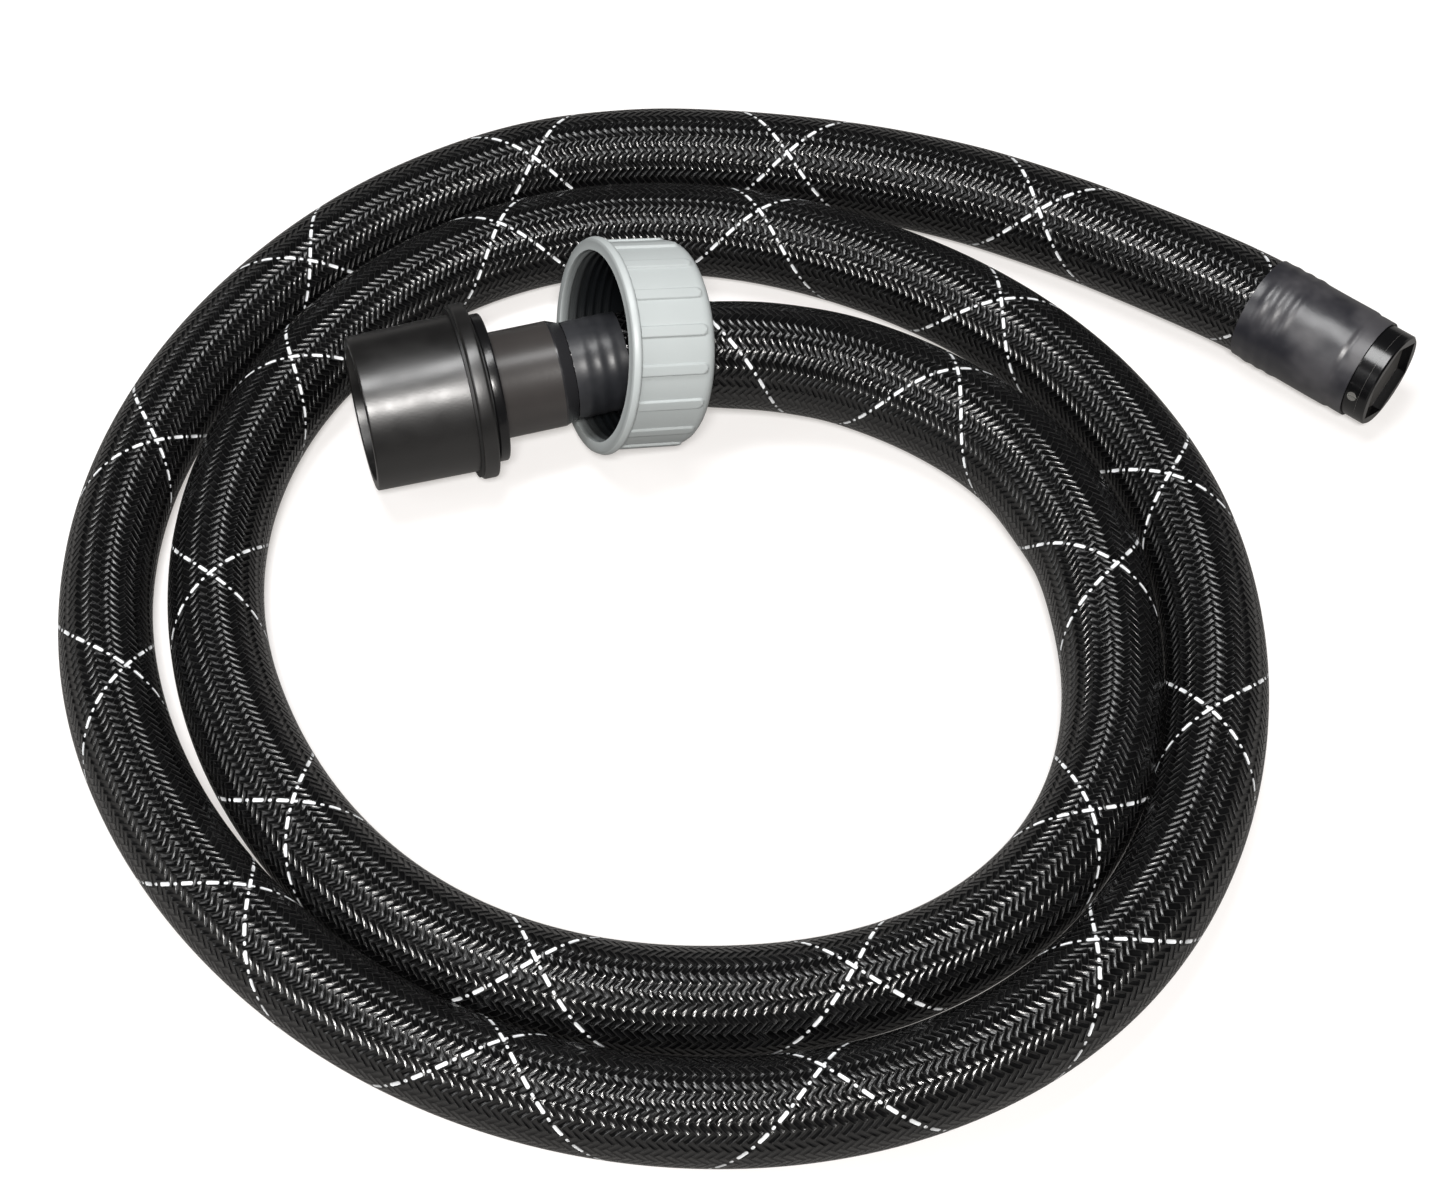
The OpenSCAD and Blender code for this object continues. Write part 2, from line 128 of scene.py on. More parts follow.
# Union nut
NUT_LEN = 41
LIP_LEN = 5
LIP_HOLE_R = 30.7
NUT_WALL_R = 45.8
BEAD_R = 49.0
BEAD_LEN = 4.9
ROOT_R = 42.7
THREAD_DEPTH = 0.9
THREAD_PITCH = 4
RIBS = 17
RIB_R = 46.8
RIB_END = NUT_LEN - 5
FIRST_RIB = math.radians(-15)

# Slack pose of the nut: one hinge, far below, carries it between its slack place and its straight one
NUT_BACK = 46
NUT_TILT = math.radians(15)
SWING_LEAN = math.radians(6)
STRAIGHT_AT = FLANGE_FACE + 2 * LOOSE_GAP
SLACK_AT = NECK_AT + NUT_BACK
LIFT = FLOOR_Z + SLIP_GAP + RIB_R * math.cos(NUT_TILT) + RIB_END * math.sin(NUT_TILT)
SWING = 1 / (2 * math.tan(NUT_TILT / 2))
POLE_X = (STRAIGHT_AT + SLACK_AT) / 2 + SWING * LIFT
POLE_DEPTH = SWING * (SLACK_AT - STRAIGHT_AT) - LIFT / 2

# ---------------------------------------------------------------- the weave and the sleeve's fullness
YARNS = 34
HOSE_SIDES = 60
LINE_STEP = 2.6
# The sleeve is fuller where it is pushed together, slimmer where it is drawn out and slim in the tail's
# clamps: radii at distances along the hose
FULLNESS = (
    (0, 20.9), (26, 20.9), (50, 23.2), (80, 24.5), (140, 24.6), (240, 24.2), (290, 23.4), (340, 21.6),
    (420, 20.6), (500, 20.6), (590, 21.9), (700, 21.8), (840, 21.5), (900, 20.4), (1000, 20.8),
    (1100, 21.2), (1400, 21.6), (1500, 21.5), (1560, 22.1), (1630, 22.0), (1700, 21.5), (1800, 21.6),
    (2000, 21.0), (2150, 21.0), (2290, 20.4), (2340, 19.7), (2420, 19.8), (2540, 20.5), (2640, 21.5),
    (2740, 21.9), (2840, 22.3),
)
FULLNESS_REACH = 30
# Over this length the hose widens to the plug's shank
SWELL_OVER = 240
# The two tracers cross on top of the hose: the first crossing and the usual step to the next, how the steps
# change away from the middle crossing, and how far the crossings lean inwards, in degrees
FIRST_CROSSING = 30.5
CROSSING_STEP = 125.6
MIDDLE_CROSSING = 12
CROSSINGS = range(-2, 28)
STEP_BEND = 0.16
STEP_TWIST = -0.048
MIDDLE_LEAN = 10.8
LEAN_GAIN = 27.4

# ---------------------------------------------------------------- colours, as linear red, green and blue;
# a pair is the darker and the lighter cloud of one finish
BLACK = (0.0, 0.0, 0.0)
WHITE = (1.0, 1.0, 1.0)
CUFF_BLACK = (0.007, 0.0067, 0.0066), (0.011, 0.0105, 0.0103)
COLLAR_BLACK = (0.006, 0.006, 0.0065)
CONE_BLACK = (0.020, 0.020, 0.022)
NECK_GREY = (0.034, 0.031, 0.030), (0.052, 0.047, 0.045)
WASHER_BLACK = (0.02, 0.02, 0.02), (0.03, 0.03, 0.03)
RUBBER_BLACK = (0.006, 0.006, 0.006), (0.010, 0.010, 0.010)
RING_STEEL = (0.5, 0.5, 0.5), (0.6, 0.6, 0.6)
SCREW_STEEL = (0.5, 0.5, 0.48), (0.6, 0.6, 0.58)
TAIL_SHRINK_BLACK = (0.016, 0.017, 0.020), (0.030, 0.031, 0.035)
END_SHRINK_BLACK = (0.020, 0.020, 0.025), (0.066, 0.064, 0.070)
PLUG_BLACK = (0.004, 0.004, 0.0045)
# Painted light: the lit grey of the plug's recess floor, whose plastic is black
RECESS_PAINTED_LIGHT = (0.10, 0.095, 0.09)
NUT_GREY = (0.45, 0.485, 0.485), (0.49, 0.525, 0.525)
# Painted shade: the colour towards which the nut darkens deeper inside it and on its mouth's face
NUT_PAINTED_SHADE = (0.004, 0.005, 0.006)
# Painted shade: the yarns' black, darkest in the valleys between them and lightest on their crowns
YARN_VALLEY_SHADE_AND_CROWN = (0.0002, 0.0002, 0.0002), (0.003, 0.003, 0.0034)
TRACER_WHITE = (0.82, 0.84, 0.86)
PAPER_LIT = (0.58, 0.58, 0.59)
PAPER_UNSEEN = (0.2, 0.196, 0.192)
PAPER_GLOW = (0.45, 0.43, 0.41)

# ---------------------------------------------------------------- scales of the finishes' noise
CLOUDS = 35.0
NECK_CLOUDS = 60.0
FINE_GRAIN = 900.0
SKIN_GRAIN = 420.0

# ---------------------------------------------------------------- camera, in metres
camera_data = bpy.data.cameras.new("camera")
camera = bpy.data.objects.new("camera", camera_data)
bpy.context.scene.collection.objects.link(camera)
camera.location = (-0.0866, -0.80497, 0.97335)
towards = Vector((0.13252, -0.11234, -0.03965)) - camera.location
roll = Quaternion((0, 0, 1), math.radians(1.632))
camera.rotation_mode = "QUATERNION"
camera.rotation_quaternion = towards.to_track_quat("-Z", "Y") @ roll
camera_data.sensor_width = 36
camera_data.lens = 71.02
camera_data.clip_end = 20
bpy.context.scene.camera = camera


# ---------------------------------------------------------------- the hose's route
def coil_point(degrees):
    """A point of the flat coil, run clockwise seen from above.

    The radius is the starting one plus a pitch for each turn, plus an oval, a cosine of twice the angle,
    plus three small waves, cosines of other multiples of the angle.
    """
    oval = math.cos(math.radians(2 * (degrees - OVAL_TOWARDS)))
    wave = sum(share * math.cos(math.radians(count * (degrees - at))) for count, share, at in WAVES)
    radius = COIL_START_R + TURN_PITCH * degrees / 360 + COIL_OVAL * oval + COIL_WAVE * wave
    x = HOSE_AT + COIL_AT[0] + radius * math.cos(math.radians(degrees))
    return (x, COIL_AT[1] - radius * math.sin(math.radians(degrees)), COIL_Z)


def hose_route():
    """The route's points: out of the tail and down, round the coil, and out to the plug.

    A point of start is x past the tail, y and its share of the way down to the floor. A point of out is x
    and y past the coil's end, its share of the widening at the plug and its share of the way up. The last of
    those is where the plug's heat shrink starts, which is given as well.
    """
    start = [
        (0, 0, 0), (24, 0, 0), (41, -0.8, 0), (64.9, -6, 0.13), (84.7, -10, 0.31), (102.4, -14.8, 0.52),
        (120, -22, 0.71), (135.6, -32.1, 0.84), (150.4, -44.6, 0.93), (164.3, -59.9, 0.98),
        (176.7, -78, 1), (186, -98.5, 1), (191.4, -121.7, 1), (194.5, -146, 1),
    ]
    out = [
        (25, 6.6, 0, 0), (50, 10.9, 0, 0), (76.1, 12.2, 0, 0), (102.7, 9.6, 0, 0), (129.3, 4.2, 0, 0),
        (153.2, -3.5, 0, 0), (177.6, -12.9, 0, 0), (202, -24.3, 0.16, 0), (223.7, -35.8, 0.34, 0),
        (245.3, -48.8, 0.5, 0), (266.7, -63.5, 0.64, 0), (288.1, -80.9, 0.76, 0.02),
        (309.2, -100, 0.87, 0.15), (329, -120.1, 0.94, 0.4), (347.8, -140.4, 0.98, 0.75),
        (370.63, -167.36, 1, 1),
    ]
    points = [(HOSE_AT + SLIP_GAP + x, y, share * COIL_Z) for x, y, share in start]
    turn = (COIL_TO - COIL_FROM) / COIL_STEPS
    points += [coil_point(COIL_FROM + turn * i) for i in range(COIL_STEPS + 1)]
    last = coil_point(COIL_TO)
    rise = END_Z - COIL_Z - SWELL_RISE
    points += [(last[0] + x, last[1] + y, COIL_Z + wide * SWELL_RISE + up * rise) for x, y, wide, up in out]
    end = np.array(points[-1])
    along = np.array([math.cos(END_YAW), math.sin(END_YAW), 0])
    points += [end + along * HOSE_END / 2, end + along * (HOSE_END - SLIP_GAP)]
    return np.array(points, float), end


def smooth_line(points, step):
    """A line through the points, sampled about every step.

    It is a natural cubic spline over the distance from point to point: a cubic between two points, whose
    bend runs on from one to the next and is nothing at the ends. One linear system gives the bends.
    """
    knots = np.r_[0, np.cumsum(np.linalg.norm(np.diff(points, axis=0), axis=1))]
    gap = np.diff(knots)
    count = len(points)
    system = np.zeros((count, count))
    wanted = np.zeros((count, 3))
    system[0, 0] = system[-1, -1] = 1
    for i in range(1, count - 1):
        system[i, i - 1 : i + 2] = gap[i - 1], 2 * (gap[i - 1] + gap[i]), gap[i]
        wanted[i] = 6 * ((points[i + 1] - points[i]) / gap[i] - (points[i] - points[i - 1]) / gap[i - 1])
    bend = np.linalg.solve(system, wanted)
    at = np.linspace(0, knots[-1], int(knots[-1] / step) + 1)
    k = np.clip(np.searchsorted(knots, at, side="right") - 1, 0, count - 2)
    before, after, span = (knots[k + 1] - at)[:, None], (at - knots[k])[:, None], gap[k][:, None]
    return (
        bend[k] * before**3 / (6 * span)
        + bend[k + 1] * after**3 / (6 * span)
        + (points[k] / span - bend[k] * span / 6) * before
        + (points[k + 1] / span - bend[k + 1] * span / 6) * after
    )


def sleeve_radius(distance):
    """The sleeve's radius at distances along the hose.

    It is the mean of the radii in FULLNESS over a reach to either side, weighted by a bell. The reach
    starts short at the tail.
    """
    full_at, full_r = np.array(FULLNESS).T
    bell = np.hanning(11)[1:-1]
    reach = np.minimum(FULLNESS_REACH, distance / 4 + 2)[:, None]
    near = distance[:, None] + np.linspace(-1, 1, len(bell)) * reach
    return np.interp(near, full_at, full_r) @ (bell / bell.sum())


def unit(rows):
    """Each row divided by its length."""
    return rows / np.linalg.norm(rows, axis=-1, keepdims=True)


route_points, end_start = hose_route()
line = smooth_line(route_points, LINE_STEP)
along_hose = np.r_[0, np.cumsum(np.linalg.norm(np.diff(line, axis=0), axis=1))]
hose_length = along_hose[-1]

# The sleeve lies on the floor with its own radius there, and the plug widens the last stretch
hose_r = sleeve_radius(along_hose)
widened = 1 - np.clip((hose_length - along_hose - HOSE_END) / SWELL_OVER, 0, 1) ** 2
on_floor = np.clip(line[:, 2] / COIL_Z, 0, 1)
line[:, 2] += (1 - widened) * on_floor * (hose_r - HOSE_R * SLEEVE_FLAT)
hose_r = (1 - widened) * hose_r + widened * (HOSE_R + END_SWELL - FACE_GAP)


# ---------------------------------------------------------------- meshes
def mesh_object(name, finish, verts, faces, place=None, sharp=40):
    """A mesh object from points in millimetres; place is a matrix, also in millimetres.

    Edges that bend by more than sharp degrees stay sharp.
    """
    verts = np.asarray(verts, float)
    if place is not None:
        matrix = np.array(place)
        verts = verts @ matrix[:3, :3].T + matrix[:3, 3]
    data = bpy.data.meshes.new(name)
    data.from_pydata((verts * MM).tolist(), [], faces.tolist())
    data.update()
    data.shade_smooth()
    data.set_sharp_from_angle(angle=math.radians(sharp))
    data.materials.append(finish)
    piece = bpy.data.objects.new(name, data)
    bpy.context.scene.collection.objects.link(piece)
    return piece


def grid_faces(rows, columns, wrap_rows=False, flip=False):
    """Quads between columns k and k + 1 of rows i and i + 1.

    The columns close on themselves, and the rows do so with wrap_rows; flip turns the faces round.
    """
    i = np.arange(rows if wrap_rows else rows - 1)[:, None]
    k = np.arange(columns)[None, :]
    low, high, after = i * columns, (i + 1) % rows * columns, (k + 1) % columns
    quads = np.stack([low + k, low + after, high + after, high + k], axis=-1).reshape(-1, 4)
    return quads[:, ::-1] if flip else quads


def rounded(corners, closed=True):
    """A profile of (x, r) points from corners of (x, r, radius): each corner becomes a small arc.

    An arc starts and ends where it touches the two sides, which it may shorten by less than half, and its
    points turn evenly from the one radius of the arc to the other.
    """
    steps = 5
    nearly_straight = 1.5
    most_of_a_side = 0.48
    points = []
    count = len(corners)
    for i, (x, r, radius) in enumerate(corners):
        here = np.array([x, r], float)
        if radius <= 0 or (not closed and i in (0, count - 1)):
            points.append(tuple(here))
            continue
        before = np.array(corners[i - 1][:2], float) - here
        after = np.array(corners[(i + 1) % count][:2], float) - here
        before_len, after_len = np.linalg.norm(before), np.linalg.norm(after)
        before, after = before / before_len, after / after_len
        half = math.acos(float(np.clip(before @ after, -1, 1))) / 2
        if half > nearly_straight:
            points.append(tuple(here))
            continue
        reach = min(radius / math.tan(half), most_of_a_side * before_len, most_of_a_side * after_len)
        radius = reach * math.tan(half)
        centre = here + (before + after) / np.linalg.norm(before + after) * radius / math.sin(half)
        first = here + before * reach - centre
        second = here + after * reach - centre
        total = math.acos(float(np.clip(first @ second / radius**2, -1, 1)))
        for share in np.arange(steps + 1) / steps:
            mix = math.sin((1 - share) * total) * first + math.sin(share * total) * second
            points.append(tuple(centre + mix / math.sin(total)))
    return points


def turned(name, finish, profile, place=None, shape=None, sharp=40):
    """Turns a closed profile of (x, r) about the X axis.

    A point of the surface is x, r times the cosine of the angle and r times its sine; shape(x, r, angle)
    may give another r.
    """
    sides = 160
    angles = np.arange(sides) * TURN / sides
    x, r = np.array(profile, float).T[:, :, None]
    radii = r + 0 * angles if shape is None else shape(x, r, angles)
    verts = np.stack([x + 0 * angles, radii * np.cos(angles), radii * np.sin(angles)], axis=-1)
    faces = grid_faces(len(profile), sides, wrap_rows=True)
    return mesh_object(name, finish, verts.reshape(-1, 3), faces, place, sharp)


def matrix_end():
    """Where the far end's own frame lies: at the start of its heat shrink, turned about the upright."""
    return Matrix.Translation(Vector(end_start)) @ Matrix.Rotation(END_YAW, 4, "Z")


def matrix_slack():
    """Where the slack nut's own frame lies: the straight one, swung about its one far hinge."""
    lean = Matrix.Rotation(SWING_LEAN, 4, "X")
    pole = Matrix.Translation((POLE_X, 0, -POLE_DEPTH))
    swung = pole @ Matrix.Rotation(NUT_TILT, 4, "Y") @ pole.inverted()
    return lean @ swung @ lean.inverted() @ Matrix.Translation((STRAIGHT_AT, 0, 0))


# ---------------------------------------------------------------- shader maths and nodes
class Number:
    """A shader's number that takes part in plain arithmetic; each operation is one Math node."""

    def __init__(self, nodes, socket):
        self.nodes, self.socket = nodes, socket

    def math(self, operation, *values):
        return self.nodes.node("ShaderNodeMath", {"operation": operation}, dict(enumerate(values)))

    def __add__(self, other):
        return self.math("ADD", self, other)

    def __sub__(self, other):
        return self.math("SUBTRACT", self, other)

    def __rsub__(self, other):
        return self.math("SUBTRACT", other, self)

    def __mul__(self, other):
        return self.math("MULTIPLY", self, other)

    def __pow__(self, other):
        return self.math("POWER", self, other)

    __radd__, __rmul__ = __add__, __mul__

    def floor(self):
        return self.math("FLOOR", self)

    def part(self):
        return self.math("FRACT", self)

    def sine(self):
        return self.math("SINE", self)

    def size(self):
        return self.math("ABSOLUTE", self)

    def below(self, limit):
        return self.math("LESS_THAN", self, limit)

    def at_least(self, other):
        return self.math("MAXIMUM", self, other)

    def at_most(self, other):
        return self.math("MINIMUM", self, other)

    def choose(self, other, pick):
        """This number where pick is 1, the other where it is 0."""
        return other + (self - other) * pick

    def ramp(self, low, high, to_low=0.0, to_high=1.0):
        """A smooth step from to_low at low to to_high at high."""
        return self.nodes.node("ShaderNodeMapRange", {"interpolation_type": "SMOOTHSTEP"},
            {"Value": self, "From Min": low, "From Max": high, "To Min": to_low, "To Max": to_high})


class Nodes:
    """A tree of nodes, to which the method node adds every further one."""

    def __init__(self, tree):
        self.tree = tree

    def feed(self, slot, value):
        if isinstance(value, Number):
            self.tree.links.new(value.socket, slot)
        elif isinstance(value, tuple):
            slot.default_value = (*value, 1)
        else:
            slot.default_value = value

    def node(self, kind, settings, values, output=0):
        """Adds a node: its settings first, then the values or links of its sockets; gives one output."""
        added = self.tree.nodes.new(kind)
        for name, value in settings.items():
            setattr(added, name, value)
        for slot, value in values.items():
            self.feed(added.inputs[slot], value)
        return Number(self, added.outputs[output])

    def place(self):
        return self.node("ShaderNodeTexCoord", {}, {}, "Object")

    def part_of(self, vector, axis):
        """One number of a vector: 0 is X, 1 is Y, 2 is Z."""
        return self.node("ShaderNodeSeparateXYZ", {}, {0: vector}, axis)

    def along(self, axis):
        """Place along an axis of the CAD frame, in metres."""
        return self.part_of(self.place(), axis)

    def noise(self, scale, detail=3.0):
        return self.node("ShaderNodeTexNoise", {},
            {"Vector": self.place(), "Scale": scale, "Detail": detail, "Roughness": 0.55}, "Fac")

    def mix(self, amount, low, high):
        """A colour from low at amount 0 to high at amount 1, which are the node's sockets 0, 6 and 7."""
        return self.node("ShaderNodeMix", {"data_type": "RGBA"}, {0: amount, 6: low, 7: high}, 2)


class Finish(Nodes):
    """A material with one shader."""

    def __init__(self, name):
        self.material = bpy.data.materials.new(name)
        self.material.use_nodes = True
        super().__init__(self.material.node_tree)
        self.shader = self.tree.nodes["Principled BSDF"]

    def set(self, **values):
        for name, value in values.items():
            self.feed(self.shader.inputs[name.replace("_", " ")], value)
        return self.material

    def bump(self, height, distance):
        self.set(Normal=self.node("ShaderNodeBump", {}, {"Height": height, "Distance": distance}))

    def grain(self, scale=FINE_GRAIN, relief=0.03 * MM):
        """The fine grain of a mould or of a drawn skin; relief is its height."""
        self.bump(self.noise(scale, 2.0), relief)


# ---------------------------------------------------------------- finishes
def moulded(name, colours, rough, grain=FINE_GRAIN, relief=0.03 * MM, metallic=0.0, specular=0.5):
    """A moulded, drawn or rolled surface: cloudy colour, uneven gloss and a fine grain."""
    finish = Finish(name)
    cloud = finish.noise(CLOUDS)
    finish.grain(grain, relief)
    spread = 0.06
    return finish.set(Base_Color=finish.mix(cloud.ramp(0.35, 0.65), *colours), Metallic=metallic,
        Roughness=cloud.ramp(0.3, 0.7, rough - spread, rough + spread), Specular_IOR_Level=specular)


def tail_finish():
    """The tail: black and glossy on the collar, satin grey on the neck, dark on the cone."""
    finish = Finish("tail_plastic")
    x = finish.along(0)
    neck_starts = x.ramp((NECK_AT + 0.1) * MM, (NECK_AT + 0.5) * MM)
    neck_lasts = x.ramp((CONE_AT - 0.5) * MM, (CONE_AT - 1.1) * MM)
    neck = neck_starts * neck_lasts
    grey = finish.mix(finish.noise(NECK_CLOUDS), *NECK_GREY)
    finish.grain()
    ends = finish.mix(x.ramp((NECK_AT + 10) * MM, (NECK_AT + 20) * MM), COLLAR_BLACK, CONE_BLACK)
    return finish.set(Base_Color=finish.mix(neck, ends, grey), Roughness=neck.ramp(0.0, 1.0, 0.24, 0.33))


def nut_finish():
    """Light blue-grey plastic with painted shade: darker deeper inside the nut and a little on its mouth's
    face; the mesh carries that shade as its attribute depth.
    """
    finish = Finish("nut_plastic")
    # The attribute depth is the share of painted shade
    depth = finish.node("ShaderNodeAttribute", {"attribute_name": "depth"}, {}, "Fac")
    cloud = finish.noise(CLOUDS)
    finish.grain(relief=0.02 * MM)
    return finish.set(Base_Color=finish.mix(depth, finish.mix(cloud, *NUT_GREY), NUT_PAINTED_SHADE),
        Roughness=cloud.ramp(0.3, 0.7, 0.34, 0.44))


def plug_finish():
    """Black glossy plastic; the floor of the hexagon recess, which lies in one plane, gets painted light: a
    matt grey.
    """
    finish = Finish("plug_plastic")
    x, y = finish.along(0), finish.along(1)
    out_x, out_y = math.cos(END_YAW), math.sin(END_YAW)
    plane = (end_start[0] * out_x + end_start[1] * out_y + PLUG_END - HEX_DEPTH) * MM
    # Painted light: the recess floor, a plane, is painted grey
    floor = (x * out_x + y * out_y - plane).size().below(0.04 * MM)
    return finish.set(Base_Color=finish.mix(floor, PLUG_BLACK, RECESS_PAINTED_LIGHT),
        Roughness=floor.ramp(0.0, 1.0, 0.2, 0.6))


def woven_finish():
    """The braided sleeve: yarns of two families cross at right angles, two over and two under.

    The UV map holds turns of the helix along the hose and turns around it. The number of a yarn and the
    place across it are the whole part and the rest of the difference of the two, for one family, and of
    their sum, for the other. The rest of the sum of two yarns' numbers over four says which lies on top. The
    yarn on top is a crown across its width and an arch along its run. One yarn of each family is the white
    tracer, which shows as a dash where it is on top and as a dot where it peeps out between.
    """
    finish = Finish("woven_sleeve")
    uv = finish.node("ShaderNodeUVMap", {"uv_map": "weave"}, {})
    helix, around = finish.part_of(uv, 0), finish.part_of(uv, 1)
    a = (around - helix) * YARNS + 0.5
    b = (around + helix) * YARNS + 0.5
    a_yarn, b_yarn = a.floor(), b.floor()
    a_side, b_side = a - a_yarn, b - b_yarn
    # The phase is 0 or 1 where the first family is on top, and 2 or 3 where the second is. The small shares
    # keep a whole number from falling just below itself
    phase = (((a_yarn + b_yarn) * 0.25 + 0.01).part() * 4).floor()
    other_phase = ((phase + 2.1) * 0.25).part() * 4 - 0.1
    a_over = phase.below(1.5)
    a_run, b_run = phase + b_side, other_phase + a_side
    side = a_side.choose(b_side, a_over)
    run = a_run.choose(b_run, a_over)
    crown = 1 - (side * 2 - 1) ** 2
    arch = (1 - (run - 1) ** 2).at_least(0.0)
    arch_share = 0.75
    strands = (side * (4 * math.pi)).sine().size()
    height = crown * (arch * arch_share + (1 - arch_share)) + strands * 0.07

    def tracer(number, side, run):
        """The distance from a stretch of the yarn's middle line gives a dash, from a shorter one a dot."""
        half_dash, half_dot, dot_slimmer = 0.7, 0.08, 0.06
        mine = ((number + 0.5) * (1 / YARNS)).part().below(1 / YARNS)
        off_middle = (side - 0.5) ** 2
        dash = (((run - 1).size() - half_dash).at_least(0.0) ** 2 + off_middle) ** 0.5
        dot = (((run - 3).size() - half_dot).at_least(0.0) ** 2 + off_middle) ** 0.5
        return dash.at_most(dot + dot_slimmer).ramp(0.34, 0.26) * mine

    white = tracer(a_yarn, a_side, a_run).at_least(tracer(b_yarn, b_side, b_run))
    pair = finish.node("ShaderNodeCombineXYZ", {}, {0: a_yarn, 1: b_yarn})
    uneven = finish.node("ShaderNodeTexWhiteNoise", {"noise_dimensions": "2D"}, {"Vector": pair}, "Value")
    # Painted shade in the valleys between the yarns, darker where the yarn is low, with a tone that differs
    # at random from yarn to yarn
    yarn_tone_and_valley_shade = finish.mix(height * (uneven * 0.5 + 0.5), *YARN_VALLEY_SHADE_AND_CROWN)
    shine = uneven.ramp(0.0, 1.0, 0.15, 0.24) + height.ramp(0.35, 0.1) * 0.5
    finish.bump(height + white * 0.3, 0.6 * MM)
    return finish.set(Specular_IOR_Level=0.7, Base_Color=finish.mix(white, yarn_tone_and_valley_shade, TRACER_WHITE),
        Roughness=shine.at_least(white * 0.7).at_most(1.0))


cuff_plastic = moulded("cuff_plastic", CUFF_BLACK, 0.36, specular=0.8)
tail_plastic = tail_finish()
nut_plastic = nut_finish()
washer_plastic = moulded("washer_plastic", WASHER_BLACK, 0.5)
seal_rubber = moulded("seal_rubber", RUBBER_BLACK, 0.5)
ring_steel = moulded("ring_steel", RING_STEEL, 0.3, metallic=1.0)
tail_shrink_skin = moulded("tail_shrink_skin", TAIL_SHRINK_BLACK, 0.4, SKIN_GRAIN, 0.04 * MM)
end_shrink_skin = moulded("end_shrink_skin", END_SHRINK_BLACK, 0.38, SKIN_GRAIN, 0.04 * MM, specular=0.7)
plug_plastic = plug_finish()
screw_steel = moulded("screw_steel", SCREW_STEEL, 0.28, metallic=1.0)


# ---------------------------------------------------------------- the hose in its sleeve
def weave_coordinates(row, column, closes):
    """Turns of the helix and turns around the hose, for points on a ring of the tube and one of its sides.

    The helix has made a whole number of turns at each crossing of the tracers, and between them it follows
    the distance along the hose. Where a face closes the ring, its last side counts on past the whole turn.
    """
    number = np.array(CROSSINGS)
    off_middle = (number - MIDDLE_CROSSING) / MIDDLE_CROSSING
    steps = number + STEP_BEND * off_middle**2 + STEP_TWIST * off_middle**3
    crossing = FIRST_CROSSING + CROSSING_STEP * steps
    helix = np.interp(along_hose, crossing, number)
    turned_by = np.interp(along_hose, crossing, (MIDDLE_LEAN + LEAN_GAIN * off_middle) / 360)
    around = (column + closes * HOSE_SIDES) / HOSE_SIDES - turned_by[row]
    return np.column_stack([helix[row], around])


def woven_hose():
    """The tube: rings of the sleeve's radius about the line and square to it, none of it below the floor."""
    heading = unit(np.gradient(line, axis=0))
    heading[0] = (1, 0, 0)
    across = unit(np.cross(heading, (0, 0, 1)))
    upward = np.cross(across, heading)
    angle = (np.arange(HOSE_SIDES) * TURN / HOSE_SIDES)[None, :, None]
    ring = np.cos(angle) * upward[:, None, :] + np.sin(angle) * across[:, None, :]
    verts = line[:, None, :] + hose_r[:, None, None] * ring
    verts[:, :, 2] = np.maximum(verts[:, :, 2], FLOOR_Z)
    faces = grid_faces(len(line), HOSE_SIDES, flip=True)
    tube = mesh_object("woven_hose", woven_finish(), verts.reshape(-1, 3), faces, sharp=180)

    corner = np.zeros(len(tube.data.loops), int)
    tube.data.loops.foreach_get("vertex_index", corner)
    row, column = corner // HOSE_SIDES, corner % HOSE_SIDES
    quads = column.reshape(-1, 4)
    at_seam = (quads.max(1) == HOSE_SIDES - 1) & (quads.min(1) == 0)
    uv = weave_coordinates(row, column, np.repeat(at_seam, 4) & (column == 0))
    tube.data.uv_layers.new(name="weave").data.foreach_set("uv", uv.astype(np.float32).ravel())
    return tube


hose = woven_hose()
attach(hose, "hose")
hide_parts("suction_hose", "braided_sleeve")

# ---------------------------------------------------------------- cuff and tail
cuff = turned("cuff_shell", cuff_plastic, rounded([
    (0, SOCKET_R, 0.6), (0, MOUTH_R, 0.9), (BARREL_LEN, BARREL_R, 0.3), (BARREL_LEN, FLANGE_R, 1.3),
    (FLANGE_FACE, FLANGE_R, 1.3), (FLANGE_FACE, JOURNAL_R + RUN_GAP, 0.3),
    (WEB_FACE, JOURNAL_R + RUN_GAP, 0.3), (WEB_FACE, END_ROOM_R, 0.3),
    (SOCKET_DEPTH, END_ROOM_R, 0.3), (SOCKET_DEPTH, SOCKET_R, 0.5)]))
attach(cuff, "cuff")
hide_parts("swivel_cuff")


def groove(span, bottom):
    """The corners of a square groove in the journal."""
    return [(span[0], JOURNAL_R, 0), (span[0], bottom, 0), (span[1], bottom, 0), (span[1], JOURNAL_R, 0)]


tail = turned("tail_body", tail_plastic, rounded([
    (JOURNAL_END, TAIL_BORE_R, 0.4), (JOURNAL_END, JOURNAL_R, 0.8),
    *groove(CLIP_GROOVE, CLIP_GROOVE_R), *groove(SEAL_GROOVE, SEAL_GROOVE_R),
    (COLLAR_AT, JOURNAL_R, 0), (COLLAR_AT, COLLAR_R, 0.8), (NECK_AT, COLLAR_R, 0.9), (NECK_AT, NECK_R, 1.2),
    (CONE_AT, NECK_R, 1.6), (HOSE_AT, CONE_R, 0.6), (HOSE_AT, SHANK_R, 0.3),
    (HOSE_AT + SHANK_LEN, SHANK_R, 0.5), (HOSE_AT + SHANK_LEN, TAIL_BORE_R, 0.5)]))
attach(tail, "hose")
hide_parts("hose_tail")


